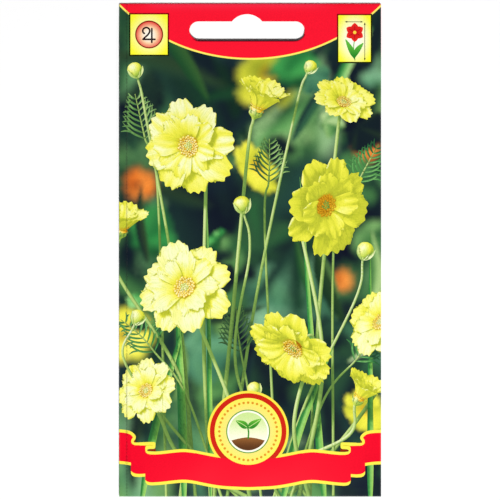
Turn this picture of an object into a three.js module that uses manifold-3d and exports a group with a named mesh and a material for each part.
// A glued paper seed packet with a hang slot, lying on its back with its printed front up.
// Millimetres. +Z is up, X runs across the packet and +Y towards its header.

import * as THREE from "three";
import { mergeVertices } from "three/addons/utils/BufferGeometryUtils.js";
import Module from "manifold-3d";

const wasm = await Module();
wasm.setup();

// ---- The folded sheet ----
const WIDTH = 85;
const HEIGHT = 160;
const PAPER = 0.25; // one layer, drawn at twice the real sheet's 0.12
const SLACK = 0.0625; // the air beside the glued edges, on each side of the glue plane
const EDGE_Z = 0.9375; // height of the glue plane: the edges curl up off the table
const FRONT_RISE = 1.5; // how far the filled front stands above the glue plane
const BACK_SAG = 0.625; // how far the back hangs below it, down to the table
const SIDE_SHOULDER = 30; // from a side fold to where the packet is full
const FRONT_SHOULDER = 24; // the same from the bottom fold and from the header, in front
const BACK_SHOULDER = 16; // and behind
const BACK_FLATTEN = 1.6; // the table presses the back flat wherever it would hang lower
const HEADER = 25; // the glued header's height
const BOTTOM_FLAP = 14; // the flap folded up over the back
const SEAM_SETBACK = 2.4; // the back panel's free edge, in from the left fold
const GLUE_LAP = 12; // the lap behind the left fold, which that edge is glued to
const SUNK = 0.1; // how deep a lap's slab is sunk in the layer under it
const RIM = 1.5; // the glued width at the folds, round the hollow

// ---- The hang slot: a long round-ended slot with a hump for the hook ----
const SLOT_LENGTH = 37.5;
const SLOT_HEIGHT = 6.6;
const SLOT_X = -0.97; // the punch sits a little left of the middle
const SLOT_Y = HEIGHT / 2 - 9.1;
const HUMP_WIDTH = 9.9;
const HUMP_RISE = 2.24;

// ---- The corner where the folds leave a small gap ----
const LEAK = { length: 3, height: 0.2, y: 4 - HEIGHT / 2 };

// ---- The sachet and what it holds ----
const FILM = 0.1875;
const SACHET = { width: 50, height: 66, y: -21 };
const SEAL = 5; // the sealed rim's width
const POCKET = 1.55; // room under the raised film
const SEED = { length: 2.2, width: 1.3, height: 1.05 };
const SEED_COLUMNS = 6;
const SEED_ROWS = 8;
const SEED_PITCH = 4.2;
const SEED_SCATTER = 0.75; // the furthest that a seed lies from its place in the grid, each way
const SEED_CLEAR = 0.02; // over the film

const GRID = 4.6; // spacing of the points that carry the curved paper

const matter = {
  paper: new THREE.MeshStandardMaterial({ color: 0x3f6d2e, roughness: 0.42, metalness: 0 }),
  film: new THREE.MeshStandardMaterial({ color: 0xc9ccce, roughness: 0.3, metalness: 0 }),
  seed: new THREE.MeshStandardMaterial({ color: 0x0d0c0b, roughness: 0.25, metalness: 0 }),
};

// ---- Between three.js geometry and solids that can be cut and joined ----

function toSolid(geometry) {
  const bare = new THREE.BufferGeometry();
  bare.setAttribute("position", geometry.getAttribute("position"));
  bare.setIndex(geometry.getIndex());
  const merged = mergeVertices(bare, 1e-4);
  return new wasm.Manifold(
    new wasm.Mesh({
      numProp: 3,
      vertProperties: merged.getAttribute("position").array,
      triVerts: new Uint32Array(merged.getIndex().array),
    }),
  );
}

function toGeometry(solid) {
  const { vertProperties, triVerts } = solid.getMesh();
  const geometry = new THREE.BufferGeometry();
  geometry.setAttribute("position", new THREE.BufferAttribute(vertProperties, 3));
  geometry.setIndex(new THREE.BufferAttribute(triVerts, 1));
  geometry.computeVertexNormals();
  return geometry;
}

// ---- Sheets: closed bodies between two surfaces over one grid ----

// Even steps of about `step` from one end to the other, with the fixed places kept.
function stations(fixed, step) {
  const places = [fixed[0]];
  for (let i = 1; i < fixed.length; i++) {
    const from = fixed[i - 1];
    const span = fixed[i] - from;
    const count = Math.max(1, Math.round(span / step));
    for (let k = 1; k < count; k++) places.push(from + (span * k) / count);
    places.push(fixed[i]);
  }
  return places;
}

function sheetGeometry(xs, ys, topZ, bottomZ) {
  const points = [];
  for (const height of [topZ, bottomZ])
    for (const y of ys) for (const x of xs) points.push(x, y, height(x, y));
  const columns = xs.length;
  const under = columns * ys.length;
  const triangles = [];
  const quad = (a, b, c, d) => triangles.push(a, b, c, a, c, d);
  for (let row = 0; row + 1 < ys.length; row++)
    for (let column = 0; column + 1 < columns; column++) {
      const a = row * columns + column;
      const [b, c, d] = [a + 1, a + columns + 1, a + columns];
      quad(a, b, c, d);
      quad(under + a, under + d, under + c, under + b);
    }
  const lastRow = under - columns;
  for (let column = 0; column + 1 < columns; column++) {
    quad(under + column, under + column + 1, column + 1, column);
    quad(lastRow + column, lastRow + column + 1, under + lastRow + column + 1, under + lastRow + column);
  }
  for (let start = 0; start < lastRow; start += columns) {
    const end = start + columns - 1;
    quad(start, start + columns, under + start + columns, under + start);
    quad(end, under + end, under + end + columns, end + columns);
  }
  const geometry = new THREE.BufferGeometry();
  geometry.setAttribute("position", new THREE.Float32BufferAttribute(points, 3));
  geometry.setIndex(triangles);
  return geometry;
}

// ---- How full the packet is: 0 along its glued edges, 1 where it is full ----

const shoulder = (distance, width) => Math.sin((Math.PI / 2) * THREE.MathUtils.clamp(distance / width, 0, 1));
const sideFill = (x) => shoulder(WIDTH / 2 - Math.abs(x), SIDE_SHOULDER);
const bodyTop = HEIGHT / 2 - HEADER;
const flapTop = BOTTOM_FLAP - HEIGHT / 2;

function frontFill(x, y) {
  return sideFill(x) * shoulder(y + HEIGHT / 2, FRONT_SHOULDER) * shoulder(bodyTop - y, FRONT_SHOULDER);
}

function backFill(x, y) {
  const free = sideFill(x) * shoulder(y - flapTop, BACK_SHOULDER) * shoulder(bodyTop - y, BACK_SHOULDER);
  return Math.min(1, BACK_FLATTEN * free);
}

// A fold is round: towards it the layers close in on the glue plane.
const FOLD_RADIUS = SLACK + PAPER;
const BLUNT = 0.35; // share of the thickness left at the fold itself
function foldShare(x, y) {
  const distance = Math.min(WIDTH / 2 - Math.abs(x), y + HEIGHT / 2);
  const inFromFold = THREE.MathUtils.clamp(1 - distance / FOLD_RADIUS, 0, 1);
  return Math.max(BLUNT, Math.sqrt(1 - inFromFold ** 2));
}

const innerFrontZ = (x, y) => EDGE_Z + SLACK + FRONT_RISE * frontFill(x, y);
const innerBackZ = (x, y) => EDGE_Z - SLACK - BACK_SAG * backFill(x, y);
const frontZ = (x, y) => EDGE_Z + FOLD_RADIUS * foldShare(x, y) + FRONT_RISE * frontFill(x, y);
const backZ = (x, y) => EDGE_Z - FOLD_RADIUS * foldShare(x, y) - BACK_SAG * backFill(x, y);

// ---- The envelope's pieces of sheet ----

function foldedSheet() {
  const [side, end] = [WIDTH / 2, HEIGHT / 2];
  const round = [0, FOLD_RADIUS / 3, FOLD_RADIUS];
  const xs = stations([...round.map((d) => d - side), ...round.map((d) => side - d).reverse()], GRID);
  const ys = stations([...round.map((d) => d - end), flapTop, bodyTop, end], GRID);
  return toSolid(sheetGeometry(xs, ys, frontZ, backZ));
}

function hollow() {
  const side = WIDTH / 2 - RIM;
  const [w, h] = [SACHET.width / 2, SACHET.height / 2];
  const xs = stations([-side, -w, w, side], GRID);
  const ys = stations([RIM - HEIGHT / 2, flapTop, SACHET.y - h, SACHET.y + h, bodyTop], GRID);
  return toSolid(sheetGeometry(xs, ys, innerFrontZ, innerBackZ));
}

function bottomFlap() {
  const side = WIDTH / 2 - FOLD_RADIUS;
  const xs = stations([-side, side], GRID);
  const ys = stations([FOLD_RADIUS - HEIGHT / 2, flapTop], GRID);
  const sunkIn = (x, y) => backZ(x, y) + SUNK;
  const outside = (x, y) => backZ(x, y) - PAPER;
  return toSolid(sheetGeometry(xs, ys, sunkIn, outside));
}

// The back panel's glued edge stands proud by one layer, and comes level past the glue lap.
function backSeam() {
  const edge = SEAM_SETBACK - WIDTH / 2;
  const level = GLUE_LAP - WIDTH / 2;
  const xs = stations([edge, level], GRID);
  const ys = stations([flapTop - RIM, HEIGHT / 2], GRID);
  const sunkIn = (x, y) => backZ(x, y) + SUNK;
  const outside = (x, y) => backZ(x, y) - (PAPER * (level - x)) / (level - edge);
  return toSolid(sheetGeometry(xs, ys, sunkIn, outside));
}

function hangSlot() {
  const r = SLOT_HEIGHT / 2;
  const straight = SLOT_LENGTH / 2 - r;
  const half = HUMP_WIDTH / 2;
  const humpRadius = (half ** 2 + HUMP_RISE ** 2) / (2 * HUMP_RISE);
  const spread = Math.asin(half / humpRadius);
  const shape = new THREE.Shape();
  shape.absarc(straight, 0, r, -Math.PI / 2, Math.PI / 2, false);
  shape.absarc(0, r + HUMP_RISE - humpRadius, humpRadius, Math.PI / 2 - spread, Math.PI / 2 + spread, false);
  shape.absarc(-straight, 0, r, Math.PI / 2, (3 * Math.PI) / 2, false);
  const depth = 8;
  const punch = new THREE.ExtrudeGeometry(shape, { depth, bevelEnabled: false, curveSegments: 10 });
  punch.translate(SLOT_X, SLOT_Y, EDGE_Z - depth / 2);
  return toSolid(punch);
}

function cornerLeak() {
  const reach = 3 * RIM;
  const gap = new THREE.BoxGeometry(reach, LEAK.length, LEAK.height);
  gap.translate(-WIDTH / 2, LEAK.y, EDGE_Z);
  return toSolid(gap);
}

function envelope() {
  const inside = hollow().add(cornerLeak());
  const paper = foldedSheet().add(backSeam()).add(bottomFlap()).subtract(inside).subtract(hangSlot());
  const mesh = new THREE.Mesh(toGeometry(paper), matter.paper);
  mesh.name = "envelope";
  return mesh;
}

// ---- The sachet: a flat film, and a film raised over the seed and sealed on it ----

const filmZ = EDGE_Z - SLACK - BACK_SAG; // the inner face of the back panel, where it lies on the table
const seedZ = filmZ + FILM;

function pocketFill(x, y) {
  const across = Math.min(1, Math.abs(x) / (SACHET.width / 2 - SEAL));
  const along = Math.min(1, Math.abs(y - SACHET.y) / (SACHET.height / 2 - SEAL));
  return (1 - across ** 4) * (1 - along ** 4);
}

function filmMesh(name, topZ, bottomZ, step) {
  const [w, h] = [SACHET.width / 2, SACHET.height / 2];
  const xs = stations([-w, SEAL - w, w - SEAL, w], step);
  const ys = stations([-h, SEAL - h, h - SEAL, h], step).map((y) => y + SACHET.y);
  const mesh = new THREE.Mesh(toGeometry(toSolid(sheetGeometry(xs, ys, topZ, bottomZ))), matter.film);
  mesh.name = name;
  return mesh;
}

function sachet() {
  const under = (x, y) => seedZ + POCKET * pocketFill(x, y);
  const over = (x, y) => under(x, y) + FILM;
  const group = new THREE.Group();
  group.add(
    filmMesh("sachet_back_film", () => seedZ, () => filmZ, SACHET.height),
    filmMesh("sachet_front_film", over, under, GRID),
  );
  return group;
}

// ---- The seeds: black, egg-shaped, with a keel down one side ----

function seedGeometry() {
  const KEEL = 1.12;
  const outline = [];
  const steps = 5;
  for (let i = 0; i <= steps; i++) {
    const angle = (Math.PI * i) / steps;
    const blunt = 1 + 0.18 * Math.cos(angle); // fuller towards one end
    outline.push(new THREE.Vector2((Math.sin(angle) * blunt * SEED.width) / 2, (-Math.cos(angle) * SEED.length) / 2));
  }
  outline[0].x = 0;
  outline[steps].x = 0;
  const geometry = new THREE.LatheGeometry(outline, 8);
  const at = geometry.getAttribute("position");
  for (let i = 0; i < at.count; i++) {
    const onKeel = at.getX(i) > 0 && Math.abs(at.getZ(i)) < 1e-6;
    if (onKeel) at.setX(i, at.getX(i) * KEEL);
  }
  geometry.scale(1, 1, SEED.height / SEED.width);
  return toGeometry(toSolid(geometry));
}

// A small repeatable random sequence, from 0 up to 1.
function randomFrom(seed) {
  let state = seed;
  return () => {
    state = (state * 16807) % 2147483647;
    return state / 2147483647;
  };
}

function seeds() {
  const random = randomFrom(1803);
  const geometry = seedGeometry();
  const group = new THREE.Group();
  for (let row = 0; row < SEED_ROWS; row++)
    for (let column = 0; column < SEED_COLUMNS; column++) {
      const seed = new THREE.Mesh(geometry, matter.seed);
      const number = row * SEED_COLUMNS + column + 1;
      seed.name = "seed_" + String(number).padStart(2, "0");
      const scatter = () => SEED_SCATTER * (2 * random() - 1);
      seed.position.set(
        (column - (SEED_COLUMNS - 1) / 2) * SEED_PITCH + scatter(),
        SACHET.y + (row - (SEED_ROWS - 1) / 2) * SEED_PITCH + scatter(),
        seedZ + SEED_CLEAR + SEED.height / 2,
      );
      seed.rotation.z = 2 * Math.PI * random();
      group.add(seed);
    }
  return group;
}

const group = new THREE.Group();
group.add(envelope(), sachet(), seeds());

export default group;
